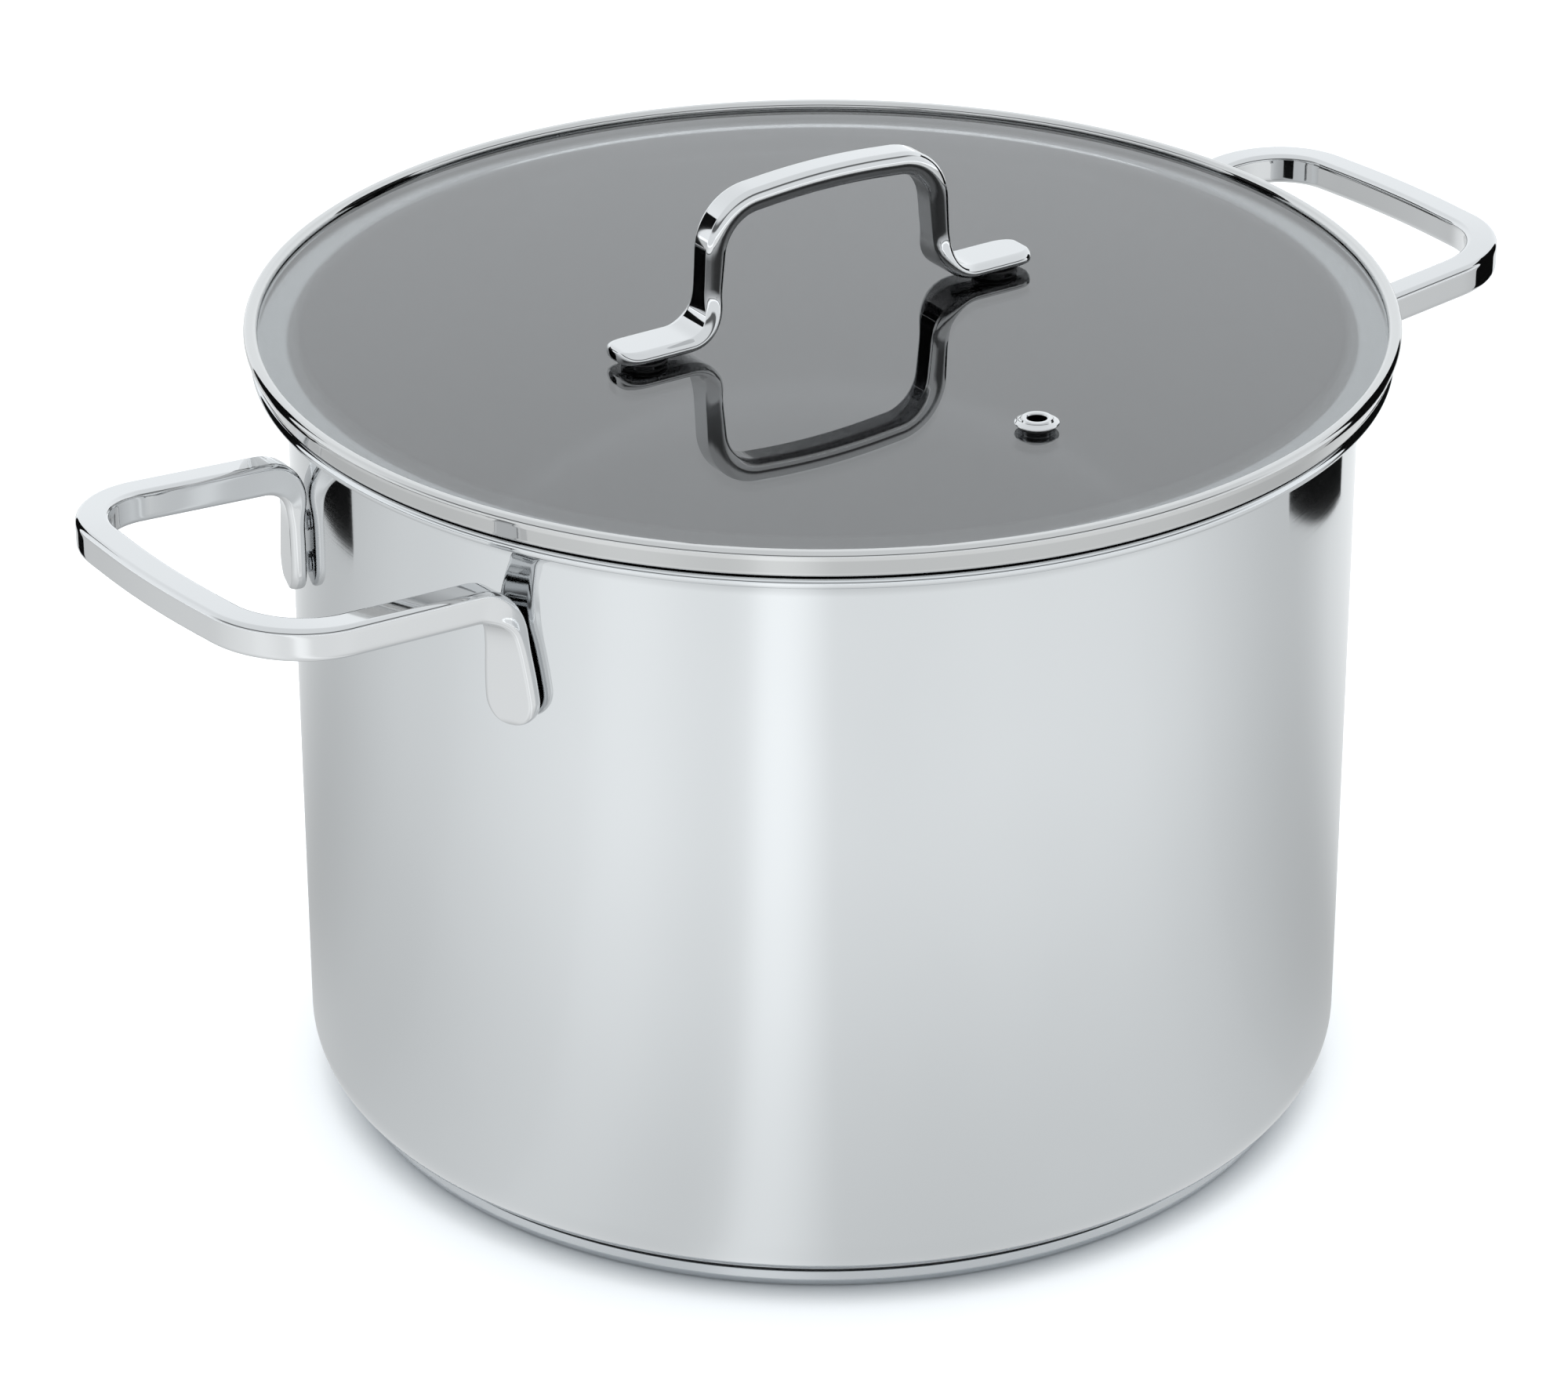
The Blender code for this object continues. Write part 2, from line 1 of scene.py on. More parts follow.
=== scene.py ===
"""Looks of the stainless stock pot: fine surfaces, materials, studio and camera.

Every visible piece is rebuilt as a fine mesh inside the box of the solid it
stands for, so sizes and places are worked out from those boxes.
"""
import math
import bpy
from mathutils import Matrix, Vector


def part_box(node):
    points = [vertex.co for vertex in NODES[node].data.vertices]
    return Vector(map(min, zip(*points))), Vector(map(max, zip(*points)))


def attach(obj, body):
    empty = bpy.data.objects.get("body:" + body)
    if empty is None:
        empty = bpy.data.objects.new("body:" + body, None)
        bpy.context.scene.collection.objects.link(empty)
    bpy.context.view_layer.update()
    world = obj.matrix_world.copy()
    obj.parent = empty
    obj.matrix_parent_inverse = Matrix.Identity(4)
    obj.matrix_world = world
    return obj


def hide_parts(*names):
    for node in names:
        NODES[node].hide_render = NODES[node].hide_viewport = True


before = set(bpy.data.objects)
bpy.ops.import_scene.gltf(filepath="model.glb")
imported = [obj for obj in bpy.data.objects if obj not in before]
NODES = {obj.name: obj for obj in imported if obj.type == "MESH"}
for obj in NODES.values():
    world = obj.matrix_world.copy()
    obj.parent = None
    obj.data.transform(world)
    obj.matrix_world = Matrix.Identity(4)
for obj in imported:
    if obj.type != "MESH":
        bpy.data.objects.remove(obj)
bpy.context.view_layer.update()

import bpy
from mathutils import Matrix, Vector

MM = 0.001
TOUCH = 0.3 * MM

# ---- places taken from the frame --------------------------------------------
POT_LOW, POT_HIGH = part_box("pot_body")
CAP_LOW, CAP_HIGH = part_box("base_cap")
GLASS_LOW, GLASS_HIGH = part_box("lid_glass")
RING_LOW, RING_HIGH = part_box("lid_ring")
GRIP_LOW, GRIP_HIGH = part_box("handle_right")
ARCH_LOW, ARCH_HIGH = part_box("lid_handle")


def centre(node):
    """Centre of a node's box."""
    low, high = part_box(node)
    return (low + high) / 2


FOOT_RIGHT = centre("handle_screw_right")
FOOT_LEFT = centre("handle_screw_left")
VENT = centre("vent_eyelet")
FOOT_X = (FOOT_RIGHT - FOOT_LEFT).xy.length / 2
LID_TURN = math.atan2(FOOT_RIGHT.y - FOOT_LEFT.y, FOOT_RIGHT.x - FOOT_LEFT.x)

# ---- shape of the pot, inside those boxes -----------------------------------
WALL = 0.9 * MM
ROLL_R = 1.35 * MM             # rolled edge of the pouring rim
ROLL_X = POT_HIGH.x - ROLL_R
ROLL_Z = POT_HIGH.z - ROLL_R
FLARE_R = 7.4 * MM
FLARE_ANGLE = 80.0
FLARE_REACH = 6.95 * MM        # from the wall's outside to the rolled edge's centre
FLARE_RISE = 7.45 * MM
BODY_R = ROLL_X - FLARE_REACH
FLARE_START_Z = ROLL_Z - FLARE_RISE
BODY_CORNER_R = 12.0 * MM

# ---- side handles -----------------------------------------------------------
BAR = 8.0 * MM
BAR_EDGE = 1.5 * MM
TAB_W = 14.0 * MM
TAB_T = 3.8 * MM
TAB_AZIMUTH = math.radians(19.8)
TAB_LEAN = math.radians(0.6)
TAB_STANDOFF = 1.0 * MM
BEND_R = 10.0 * MM
BAR_RISE = 5.0 * MM            # rise of the bar from the wall to the grip
BAR_GRIP_Z = GRIP_HIGH.z - BAR / 2
BAR_WALL_Z = BAR_GRIP_Z - BAR_RISE
GRIP_BOW = 1.6 * MM
GRIP_MIDDLE_REACH = 2.57 * MM  # how far the bowed middle stands beyond the corners
GRIP_X = GRIP_HIGH.x - BAR / 2 - GRIP_MIDDLE_REACH
GRIP_HALF_SPAN = 45.0 * MM
GRIP_CORNER_R = 20.5 * MM
GRIP_CROWN_R = 260.0 * MM

# ---- lid handle -------------------------------------------------------------
FOOT_TIP = 8.4 * MM            # from a foot's screw to its tip
FOOT_W = 14.0 * MM
FOOT_T = 3.4 * MM
ARCH_W = 8.6 * MM
LEG_T = 4.9 * MM
CROWN_T = 5.9 * MM
LEG_FOOT_X = 33.8 * MM
LEG_TOP_X = 31.4 * MM
FOOT_Z = ARCH_LOW.z + FOOT_T / 2
SHOULDER_DROP = 4.96 * MM      # the unrounded corners of the centre line, below the top
CROWN_DROP = 2.26 * MM
SHOULDER_Z = ARCH_HIGH.z - SHOULDER_DROP
CROWN_Z = ARCH_HIGH.z - CROWN_DROP
FOOT_BEND_R = 8.5 * MM
SHOULDER_R = 12.5 * MM
CROWN_R = 190.0 * MM
ARCH_EDGE = 0.9 * MM
ARCH_BULGE = 0.12              # swelling of the bar's sides, as a share of its width

# ---- fineness ---------------------------------------------------------------
ROUND_STEPS = 240
SMALL_STEPS = 64
STATION = 1.2 * MM             # spacing of sections along a bar
SHARP = math.radians(40.0)


# ---- mesh helpers -----------------------------------------------------------
def add_piece(name, verts, faces, look, body, replaced, location=(0, 0, 0), turn=0.0):
    """A smooth mesh piece that stands for CAD nodes and rides on a body."""
    mesh = bpy.data.meshes.new(name)
    mesh.from_pydata([tuple(v) for v in verts], [], faces)
    mesh.validate()
    mesh.shade_smooth()
    mesh.set_sharp_from_angle(angle=SHARP)
    mesh.materials.append(look)
    piece = bpy.data.objects.new(name, mesh)
    bpy.context.scene.collection.objects.link(piece)
    piece.location = location
    piece.rotation_euler = (0, 0, turn)
    weighted = piece.modifiers.new("even_normals", "WEIGHTED_NORMAL")
    weighted.keep_sharp = True
    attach(piece, body)
    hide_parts(replaced)
    return piece


def arc(centre_r, centre_z, radius, start_deg, end_deg, steps):
    """Points of an arc in the profile plane, as (r, z)."""
    points = []
    for i in range(steps + 1):
        angle = math.radians(start_deg + (end_deg - start_deg) * i / steps)
        points.append((centre_r + radius * math.cos(angle), centre_z + radius * math.sin(angle)))
    return points


def turned(profile, steps, closed):
    """Vertices and faces of an (r, z) profile turned round Z, outer side downwards."""
    verts, rings = [], []
    for r, z in profile:
        if r < 1e-7:
            rings.append([len(verts)])
            verts.append((0, 0, z))
            continue
        rings.append(list(range(len(verts), len(verts) + steps)))
        for k in range(steps):
            angle = 2 * math.pi * k / steps
            verts.append((r * math.cos(angle), r * math.sin(angle), z))
    pairs = list(zip(rings, rings[1:]))
    if closed:
        pairs.append((rings[-1], rings[0]))
    faces = []
    for low, high in pairs:
        for k in range(steps):
            n = (k + 1) % steps
            if len(low) == 1:
                faces.append((low[0], high[n], high[k]))
            elif len(high) == 1:
                faces.append((low[k], low[n], high[0]))
            else:
                faces.append((low[k], low[n], high[n], high[k]))
    return verts, faces


def rounded_path(corners, radii, step):
    """Points along straight runs joined by fillets, about a step apart."""
    points = [corners[0]]
    for i, radius in enumerate(radii, start=1):
        before = (corners[i - 1] - corners[i]).normalized()
        after = (corners[i + 1] - corners[i]).normalized()
        half = before.angle(after) / 2
        turn = math.pi - 2 * half
        middle = corners[i] + (before + after).normalized() * (radius / math.sin(half))
        start = corners[i] + before * (radius / math.tan(half)) - middle
        axis = start.cross(-before)
        steps = max(4, math.ceil(turn * radius / step))
        for k in range(steps + 1):
            points.append(middle + Matrix.Rotation(turn * k / steps, 3, axis) @ start)
    points.append(corners[-1])
    dense = [points[0]]
    for a, b in zip(points, points[1:]):
        pieces = max(1, math.ceil((b - a).length / step))
        dense += [a.lerp(b, k / pieces) for k in range(1, pieces + 1)]
    return dense


def distances(points):
    """Distance along a path at each of its points."""
    run = [0.0]
    for a, b in zip(points, points[1:]):
        run.append(run[-1] + (b - a).length)
    return run


def section(width, height, edge, bulge):
    """A rectangle with rounded corners and bulging sides, as (across, up) pairs."""
    a, b = width / 2 - bulge, height / 2
    c = min(edge, 0.92 * a, 0.92 * b)
    flat = b - c
    points = []
    for hand in (1, -1):
        for k in range(7):
            angle = math.radians(15 * k)
            points.append((hand * (a - c + c * math.cos(angle)), hand * (flat + c * math.sin(angle))))
        for k in range(7):
            angle = math.radians(90 + 15 * k)
            points.append((hand * (c - a + c * math.cos(angle)), hand * (flat + c * math.sin(angle))))
        points += [(-hand * a, hand * flat * (1 - k / 4)) for k in range(1, 8)]
    return [(x * (1 + bulge / a * (1 - (y / b) ** 2)), y) for x, y in points]


def bar(points, sides, widths, heights, edge, bulge=0.0):
    """Loft the rounded section along points; sides gives its width direction.

    bulge is how far the sides swell, as a share of the section's width.
    """
    verts, faces = [], []
    count = len(section(1, 1, 0.1, 0))
    for i, point in enumerate(points):
        ahead = points[min(i + 1, len(points) - 1)] - points[max(i - 1, 0)]
        tangent = ahead.normalized()
        side = (sides[i] - tangent * sides[i].dot(tangent)).normalized()
        up = tangent.cross(side)
        outline = section(widths[i], heights[i], edge, bulge * widths[i])
        verts += [point + side * u + up * v for u, v in outline]
    for i in range(len(points) - 1):
        low, high = i * count, (i + 1) * count
        for k in range(count):
            n = (k + 1) % count
            faces.append((low + k, low + n, high + n, high + k))
    faces.append(tuple(reversed(range(count))))
    last = (len(points) - 1) * count
    faces.append(tuple(range(last, last + count)))
    return verts, faces


def blend(x, x0, x1, y0, y1):
    """Ease from y0 at x0 to y1 at x1."""
    t = min(max((x - x0) / (x1 - x0), 0.0), 1.0)
    t = t * t * (3 - 2 * t)
    return y0 + (y1 - y0) * t


def tip_distances(radius):
    """Distances from a rounded tip at which its sections are placed."""
    return [radius * (1 - math.cos(math.radians(a))) for a in range(6, 90, 7)]


def tip_width(distance, radius, power):
    """Width factor of a rounded end at a distance from its tip."""
    inside = 1 - min(distance, radius) / radius
    return max((1 - inside ** power) ** (1 / power), 0.06)


def tip_height(distance, height, edge):
    """Height of a bar whose end face is rounded over at its edges."""
    inside = max(edge - distance, 0.0)
    return height - 2 * (edge - math.sqrt(edge * edge - inside * inside)) * 0.8


def with_tips(points, radius):
    """Adds the close sections of both rounded tips to a path."""
    start = (points[1] - points[0]).normalized()
    end = (points[-2] - points[-1]).normalized()
    first = [points[0] + start * d for d in tip_distances(radius)]
    last = [points[-1] + end * d for d in reversed(tip_distances(radius))]
    kept = [p for p in points[1:-1] if min((p - points[0]).length, (p - points[-1]).length) > radius]
    return points[:1] + first + kept + last + points[-1:]


# ---- material helpers -------------------------------------------------------
class Look:
    """A material being built from nodes, ending in one Principled BSDF."""

    def __init__(self, name):
        self.material = bpy.data.materials.new(name)
        self.material.use_nodes = True
        self.nodes = self.material.node_tree.nodes
        self.links = self.material.node_tree.links
        self.shader = self.nodes["Principled BSDF"]

    def node(self, kind, **settings):
        made = self.nodes.new(kind)
        for key, value in settings.items():
            if key in made.inputs:
                made.inputs[key].default_value = value
            else:
                setattr(made, key, value)
        return made

    def link(self, source, output, target, socket):
        self.links.new(source.outputs[output], target.inputs[socket])

    def set(self, **values):
        for key, value in values.items():
            self.shader.inputs[key.replace("_", " ")].default_value = value

    def noise(self, stretch, detail=4.0, rough=0.55):
        """Noise over object coordinates stretched by a factor per axis."""
        place = self.node("ShaderNodeTexCoord")
        mapping = self.node("ShaderNodeMapping", Scale=stretch)
        grain = self.node("ShaderNodeTexNoise", Scale=1.0, Detail=detail, Roughness=rough)
        self.link(place, "Object", mapping, "Vector")
        self.link(mapping, "Vector", grain, "Vector")
        return grain

    def remap(self, source, output, low, high, span=(0.3, 0.7)):
        """Map a texture's middle span to low..high."""
        made = self.node("ShaderNodeMapRange")
        made.inputs["From Min"].default_value, made.inputs["From Max"].default_value = span
        made.inputs["To Min"].default_value = low
        made.inputs["To Max"].default_value = high
        self.link(source, output, made, "Value")
        return made

    def bump(self, source, output, height, strength):
        made = self.node("ShaderNodeBump", Strength=strength, Distance=height)
        self.link(source, output, made, "Height")
        self.link(made, "Normal", self.shader, "Normal")
        return made

    def mix_colours(self, a, b):
        """A colour mix whose Factor is still to be linked."""
        made = self.node("ShaderNodeMix", data_type="RGBA")
        made.inputs[6].default_value = (*a, 1)
        made.inputs[7].default_value = (*b, 1)
        return made

    def outwards(self):
        """1 on faces that look away from the axis or down and on the flared rim, 0 inside."""
        place = self.node("ShaderNodeTexCoord")
        flat = self.node("ShaderNodeVectorMath", operation="MULTIPLY_ADD")
        flat.inputs[1].default_value = (1, 1, 0)
        flat.inputs[2].default_value = (0, 0, -0.05)
        self.links.new(place.outputs["Object"], flat.inputs[0])
        facing = self.node("ShaderNodeVectorMath", operation="DOT_PRODUCT")
        self.links.new(flat.outputs["Vector"], facing.inputs[0])
        self.links.new(place.outputs["Normal"], facing.inputs[1])
        outer = self.remap(facing, "Value", 0.0, 1.0, span=(-0.04, -0.01))
        height = self.node("ShaderNodeSeparateXYZ")
        self.links.new(place.outputs["Object"], height.inputs[0])
        rim_span = (FLARE_START_Z - 2.0 * MM, FLARE_START_Z + 1.5 * MM)
        rim = self.remap(height, "Z", 0.0, 1.0, span=rim_span)
        either = self.node("ShaderNodeMath", operation="MAXIMUM")
        self.links.new(outer.outputs["Result"], either.inputs[0])
        self.links.new(rim.outputs["Result"], either.inputs[1])
        return either


def grained_steel(name, colour, roughness, anisotropy, grain_height, inside=None):
    """Steel polished round its axis: fine circumferential grain, stretched highlights.

    Faces that look towards the axis take the inside colour, if there is one,
    except on the flared rim; that darker colour is painted shade of the pot's inside.
    """
    look = Look(name)
    look.set(Base_Color=(*colour, 1), Metallic=1.0, Anisotropic=anisotropy, Anisotropic_Rotation=0.25)
    tangent = look.node("ShaderNodeTangent", direction_type="RADIAL", axis="Z")
    look.link(tangent, "Tangent", look.shader, "Tangent")
    grain = look.noise((7.0, 7.0, 2600.0), detail=3.0)
    cloud = look.noise((14.0, 14.0, 9.0), detail=3.0)
    rough = look.remap(grain, "Fac", roughness * 0.85, roughness * 1.2)
    look.link(rough, "Result", look.shader, "Roughness")
    tint = look.mix_colours([c * 0.985 for c in colour], [c * 1.015 for c in colour])
    look.link(look.remap(cloud, "Fac", 0.0, 1.0), "Result", tint, "Factor")
    look.links.new(tint.outputs[2], look.shader.inputs["Base Color"])
    bump = look.bump(grain, "Fac", grain_height, 0.25)
    # inside faces take the darker inside colour: painted shade of the pot's inside
    if inside:
        outwards = look.outwards()
        both = look.mix_colours(inside, colour)
        look.link(outwards, "Value", both, "Factor")
        look.links.new(tint.outputs[2], both.inputs[7])
        look.links.new(both.outputs[2], look.shader.inputs["Base Color"])
        fade = look.node("ShaderNodeMath", operation="MULTIPLY")
        fade.inputs[1].default_value = 0.25
        look.links.new(outwards.outputs["Value"], fade.inputs[0])
        look.link(fade, "Value", bump, "Strength")
    return look.material


def mirror_steel(name, colour, roughness):
    """Bright polished steel with faint buffing variation."""
    look = Look(name)
    look.set(Base_Color=(*colour, 1), Metallic=1.0)
    cloud = look.noise((90.0, 90.0, 90.0), detail=5.0)
    rough = look.remap(cloud, "Fac", roughness * 0.6, roughness * 1.6)
    look.link(rough, "Result", look.shader, "Roughness")
    ripple = look.noise((55.0, 55.0, 55.0), detail=1.0)
    look.bump(ripple, "Fac", 0.02 * MM, 0.5)
    return look.material


def clear_glass(name, colour, edge_colour, edge_radius):
    """Glass tinted smoke grey in the middle, partly its own slight grey and partly painted shade of the
    pot's dim inside, with a clearer border so that the steel under its edge shows.
    """
    look = Look(name)
    look.set(Roughness=0.0, IOR=1.5, Transmission_Weight=1.0, Coat_Weight=0.72, Coat_Roughness=0.0)
    smudge = look.noise((30.0, 30.0, 30.0), detail=4.0)
    tint = look.mix_colours([c * 0.985 for c in colour], colour)
    look.link(look.remap(smudge, "Fac", 0.0, 1.0), "Result", tint, "Factor")
    place = look.node("ShaderNodeTexCoord")
    flat = look.node("ShaderNodeVectorMath", operation="MULTIPLY")
    flat.inputs[1].default_value = (1, 1, 0)
    look.link(place, "Object", flat, "Vector")
    reach = look.node("ShaderNodeVectorMath", operation="LENGTH")
    look.link(flat, "Vector", reach, "Vector")
    border = look.remap(reach, "Value", 0.0, 1.0, span=(edge_radius - 1 * MM, edge_radius + 1 * MM))
    both = look.mix_colours(colour, edge_colour)
    look.links.new(tint.outputs[2], both.inputs[6])
    look.link(border, "Result", both, "Factor")
    look.links.new(both.outputs[2], look.shader.inputs["Base Color"])
    # shadow rays through the glass are dimmed by the same tint, painted shade included
    clear = look.node("ShaderNodeBsdfTransparent", Color=(*[math.sqrt(c) for c in colour], 1))
    path = look.node("ShaderNodeLightPath")
    mix = look.node("ShaderNodeMixShader")
    output = look.nodes["Material Output"]
    look.link(path, "Is Shadow Ray", mix, "Fac")
    look.links.new(look.shader.outputs["BSDF"], mix.inputs[1])
    look.links.new(clear.outputs["BSDF"], mix.inputs[2])
    look.links.new(mix.outputs["Shader"], output.inputs["Surface"])
    return look.material


def matt_silicone(name):
    """Black silicone with a faint moulded texture."""
    look = Look(name)
    look.set(Base_Color=(0.012, 0.012, 0.013, 1), Roughness=0.5)
    grain = look.noise((1500.0, 1500.0, 1500.0), detail=2.0)
    rough = look.remap(grain, "Fac", 0.42, 0.6)
    look.link(rough, "Result", look.shader, "Roughness")
    look.bump(grain, "Fac", 0.02 * MM, 0.4)
    return look.material


# the inside colour is darker for the pot's inside walls and floor: painted shade
BODY_STEEL = grained_steel("satin_body_steel", (0.677, 0.690, 0.700), 0.055, 0.75, 0.008 * MM,
                           inside=(0.42, 0.425, 0.43))
BASE_STEEL = grained_steel("turned_base_steel", (0.60, 0.62, 0.64), 0.22, 0.6, 0.01 * MM)
POLISHED = mirror_steel("mirror_steel", (0.672, 0.676, 0.68), 0.04)
RING_STEEL = mirror_steel("ring_steel", (0.60, 0.60, 0.597), 0.05)
FASTENER = mirror_steel("fastener_steel", (0.55, 0.555, 0.56), 0.18)
ALUMINIUM = grained_steel("core_aluminium", (0.72, 0.73, 0.74), 0.45, 0.3, 0.01 * MM)
# the dark middle colour is partly the glass's slight grey and partly painted shade of the pot's dim
# inside
GLASS = clear_glass("lid_glass_clear", (0.262, 0.268, 0.275), (0.56, 0.58, 0.59), 127 * MM)
SILICONE = matt_silicone("black_silicone")


# ---- the pot ----------------------------------------------------------------
def build_pot_body():
    """Drawn shell: straight wall, pouring flare and a rolled edge."""
    corner_x = BODY_R - BODY_CORNER_R
    corner_z = POT_LOW.z + BODY_CORNER_R
    flare_x = BODY_R + FLARE_R
    tip_deg = 180 - FLARE_ANGLE
    profile = [(0, POT_LOW.z), (corner_x * 0.5, POT_LOW.z)]
    profile += arc(corner_x, corner_z, BODY_CORNER_R, -90, 0, 18)
    profile += [(BODY_R, corner_z + 40 * MM), (BODY_R, FLARE_START_Z - 30 * MM)]
    profile += arc(flare_x, FLARE_START_Z, FLARE_R, 180, tip_deg, 20)
    profile += arc(ROLL_X, ROLL_Z, ROLL_R, -110, 110, 18)
    profile += arc(flare_x, FLARE_START_Z, FLARE_R + WALL, tip_deg, 180, 20)
    profile += [(BODY_R - WALL, FLARE_START_Z - 30 * MM), (BODY_R - WALL, corner_z + 40 * MM)]
    profile += arc(corner_x, corner_z, BODY_CORNER_R - WALL, 0, -90, 18)
    profile += [(corner_x * 0.5, POT_LOW.z + WALL), (0, POT_LOW.z + WALL)]
    verts, faces = turned(profile, ROUND_STEPS, closed=False)
    add_piece("pot_shell", verts, faces, BODY_STEEL, "pot", "pot_body")


def build_base_cap():
    """Steel cap: rounded foot, turned grooves and a shallow centre dish underneath."""
    top, reach = CAP_HIGH.z, CAP_HIGH.x
    foot = 3.7 * MM
    wall = 0.6 * MM
    profile = [(0, 0.25 * MM), (14 * MM, 0.25 * MM), (15 * MM, 0)]
    for k in range(9):
        r = (26 + 10 * k) * MM
        profile += [(r - 0.7 * MM, 0), (r, 0.12 * MM), (r + 0.7 * MM, 0)]
    profile += arc(reach - foot, 3.2 * MM, 3.2 * MM, -90, -45, 6)
    profile += [(reach - 0.25 * MM, 2.4 * MM), (reach, 3.3 * MM), (reach, top - 0.25 * MM),
                (reach - 0.2 * MM, top), (reach - wall, top), (reach - wall, 3.6 * MM)]
    profile += [(reach - foot, wall + 0.1 * MM), (0, wall)]
    verts, faces = turned(profile, ROUND_STEPS, closed=False)
    add_piece("base_shell", verts, faces, BASE_STEEL, "pot", "base_cap")


def side_handle():
    """Vertices and faces of the +X loop handle: tab, leg, bowed grip, leg, tab."""
    tab_r = BODY_R + TAB_STANDOFF + TAB_T / 2
    foot_azimuth = TAB_AZIMUTH + TAB_LEAN
    top_azimuth = TAB_AZIMUTH - TAB_LEAN
    foot_x, foot_y = tab_r * math.cos(foot_azimuth), tab_r * math.sin(foot_azimuth)
    top_x, top_y = tab_r * math.cos(top_azimuth), tab_r * math.sin(top_azimuth)
    low = GRIP_LOW.z
    corners = [Vector((foot_x, -foot_y, low)), Vector((top_x, -top_y, BAR_WALL_Z)),
               Vector((GRIP_X, -GRIP_HALF_SPAN, BAR_GRIP_Z)),
               Vector((GRIP_X + GRIP_BOW * 2, 0, BAR_GRIP_Z)),
               Vector((GRIP_X, GRIP_HALF_SPAN, BAR_GRIP_Z)),
               Vector((top_x, top_y, BAR_WALL_Z)), Vector((foot_x, foot_y, low))]
    radii = [BEND_R, GRIP_CORNER_R, GRIP_CROWN_R, GRIP_CORNER_R, BEND_R]
    path = rounded_path(corners, radii, STATION)
    points = with_tips(path, TAB_W / 2)
    run = distances(points)
    tab_end = BAR_WALL_Z - low - BEND_R
    bend_end = tab_end + BEND_R * math.pi / 2
    sides, widths, heights = [], [], []
    for i, along in enumerate(run):
        near = min(along, run[-1] - along)
        hand = -1 if i < len(points) // 2 else 1
        if near > bend_end + 4 * MM:
            side = Vector((0, 0, 1)).cross(points[i + 1] - points[i - 1])
        else:
            share = blend(near, tab_end, bend_end, 0, 1)
            across = Vector((-math.sin(hand * TAB_AZIMUTH), math.cos(TAB_AZIMUTH), 0))
            side = across.lerp(Vector((0, 1, 0)), share) * -hand
        sides.append(side.normalized())
        width = blend(near, TAB_W / 3, bend_end, TAB_W, BAR)
        widths.append(width * tip_width(near, TAB_W / 2, 2.2))
        height = blend(near, tab_end - 4 * MM, bend_end - 2 * MM, TAB_T, BAR)
        heights.append(tip_height(near, height, BAR_EDGE))
    return bar(points, sides, widths, heights, BAR_EDGE)


def build_side_handles():
    """Both loop handles, half a turn apart."""
    verts, faces = side_handle()
    for name, turn in (("right", 0.0), ("left", math.pi)):
        add_piece("grip_" + name, verts, faces, POLISHED, "pot", "handle_" + name,
                  turn=turn)


# ---- the lid ----------------------------------------------------------------
def build_glass():
    """Flat tempered disc with eased edges and three ground holes."""
    low, high, reach = GLASS_LOW.z, GLASS_HIGH.z, GLASS_HIGH.x
    ease = 0.9 * MM
    profile = [(0, low)] + arc(reach - ease, low + ease, ease, -90, 0, 6)
    profile += arc(reach - ease, high - ease, ease, 0, 90, 6) + [(0, high)]
    verts, faces = turned(profile, ROUND_STEPS, closed=False)
    glass = add_piece("glass_disc", verts, faces, GLASS, "lid", "lid_glass")
    glass.modifiers.remove(glass.modifiers["even_normals"])
    cutters = []
    for place, radius in ((FOOT_LEFT, 3.0 * MM), (FOOT_RIGHT, 3.0 * MM), (VENT, 3.4 * MM)):
        ring, sides = turned([(0, low - MM), (radius, low - MM), (radius, high + MM), (0, high + MM)],
                             SMALL_STEPS, closed=False)
        mesh = bpy.data.meshes.new("hole")
        mesh.from_pydata([(x + place.x, y + place.y, z) for x, y, z in ring], [], sides)
        cutter = bpy.data.objects.new("hole", mesh)
        bpy.context.scene.collection.objects.link(cutter)
        cutters.append(cutter)
        drill = glass.modifiers.new("hole", "BOOLEAN")
        drill.operation = "DIFFERENCE"
        drill.object = cutter
    bpy.context.view_layer.update()
    drilled = bpy.data.meshes.new_from_object(glass.evaluated_get(bpy.context.evaluated_depsgraph_get()))
    glass.modifiers.clear()
    glass.data = drilled
    drilled.shade_smooth()
    drilled.set_sharp_from_angle(angle=math.radians(25))
    for face in drilled.polygons:
        face.use_smooth = abs(face.normal.z) < 0.999
    for cutter in cutters:
        bpy.data.objects.remove(cutter, do_unlink=True)


